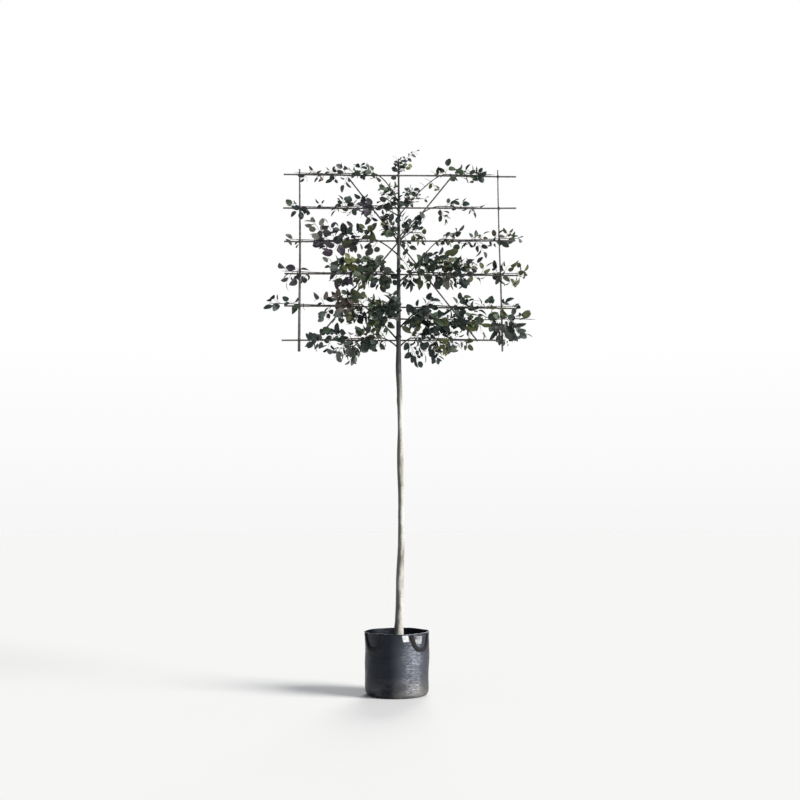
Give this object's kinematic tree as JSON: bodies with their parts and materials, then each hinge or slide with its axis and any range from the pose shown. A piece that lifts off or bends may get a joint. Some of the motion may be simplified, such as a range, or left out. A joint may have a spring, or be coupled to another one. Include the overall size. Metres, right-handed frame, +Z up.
{
  "type": "potted espaliered crabapple",
  "caption": "Tall clear-stemmed crabapple trained flat on a cane rack, with tiered boughs in sparse leaf, in a soft black pot.",
  "frame": {"origin": "middle of the pot's flat underside, where it stands", "axes": "+Z up, X along the flat of the espalier, the front of the crown and of its canes facing -Y"},
  "size_m": [1.7146, 0.41, 3.4567],
  "materials": {
    "bark": "matte",
    "young_bark": "matte",
    "foliage": "satin",
    "cane": "matte",
    "pot_plastic": "satin",
    "webbing": "matte",
    "soil": "matte"
  },
  "bodies": {
    "root": {"pot": "pot_plastic", "soil": "soil", "handle_front_left": "webbing", "handle_front_right": "webbing", "handle_back_left": "webbing", "handle_back_right": "webbing", "trunk": "bark", "cane_row_1": "cane", "cane_row_2": "cane", "cane_row_3": "cane", "cane_row_4": "cane", "cane_row_5": "cane", "cane_row_6": "cane", "cane_post_left": "cane", "cane_post_middle": "cane", "cane_post_right": "cane", "cane_brace_falling": "cane", "cane_brace_rising": "cane", "bough_left_1": "young_bark", "foliage_left_1": "foliage", "bough_left_2": "young_bark", "foliage_left_2": "foliage", "bough_left_3": "young_bark", "foliage_left_3": "foliage", "bough_left_4": "young_bark", "foliage_left_4": "foliage", "bough_left_5": "young_bark", "foliage_left_5": "foliage", "bough_left_low": "young_bark", "foliage_left_low": "foliage", "bough_left_6": "young_bark", "foliage_left_6": "foliage", "bough_left_upper_spur": "young_bark", "foliage_left_upper_spur": "foliage", "bough_left_middle_spur": "young_bark", "foliage_left_middle_spur": "foliage", "bough_right_1": "young_bark", "foliage_right_1": "foliage", "bough_right_2": "young_bark", "foliage_right_2": "foliage", "bough_right_3": "young_bark", "foliage_right_3": "foliage", "bough_right_4": "young_bark", "foliage_right_4": "foliage", "bough_right_5": "young_bark", "foliage_right_5": "foliage", "bough_right_low": "young_bark", "foliage_right_low": "foliage", "bough_right_6": "young_bark", "foliage_right_6": "foliage", "bough_right_upper_spur": "young_bark", "foliage_right_upper_spur": "foliage", "bough_right_middle_spur": "young_bark", "foliage_right_middle_spur": "foliage", "foliage_leader": "foliage"}
  },
  "joints": []
}
